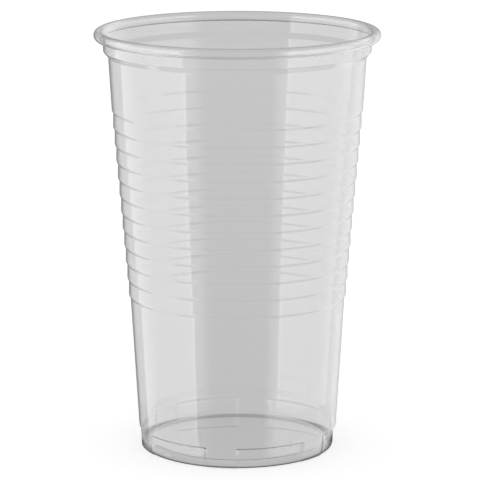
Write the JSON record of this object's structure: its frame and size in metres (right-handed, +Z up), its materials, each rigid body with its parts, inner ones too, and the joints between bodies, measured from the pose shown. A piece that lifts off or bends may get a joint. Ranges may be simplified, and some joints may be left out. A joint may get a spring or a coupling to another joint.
{
  "type": "disposable plastic cup",
  "caption": "Thin clear drinking cup with a tapered ribbed wall, a rolled rim, a collar below it and a set-in foot with pads round the base.",
  "frame": {"origin": "middle of the foot, at the level of the table that the cup stands on", "axes": "+Z up along the cup's axis to the open rim; -Y points at the middle of one of the six pads at the foot"},
  "size_m": [0.078, 0.078, 0.116],
  "materials": {
    "clear_plastic": "clear thermoformed polypropylene, glossy, faintly milky"
  },
  "bodies": {
    "root": {"cup": "clear_plastic"}
  },
  "joints": []
}
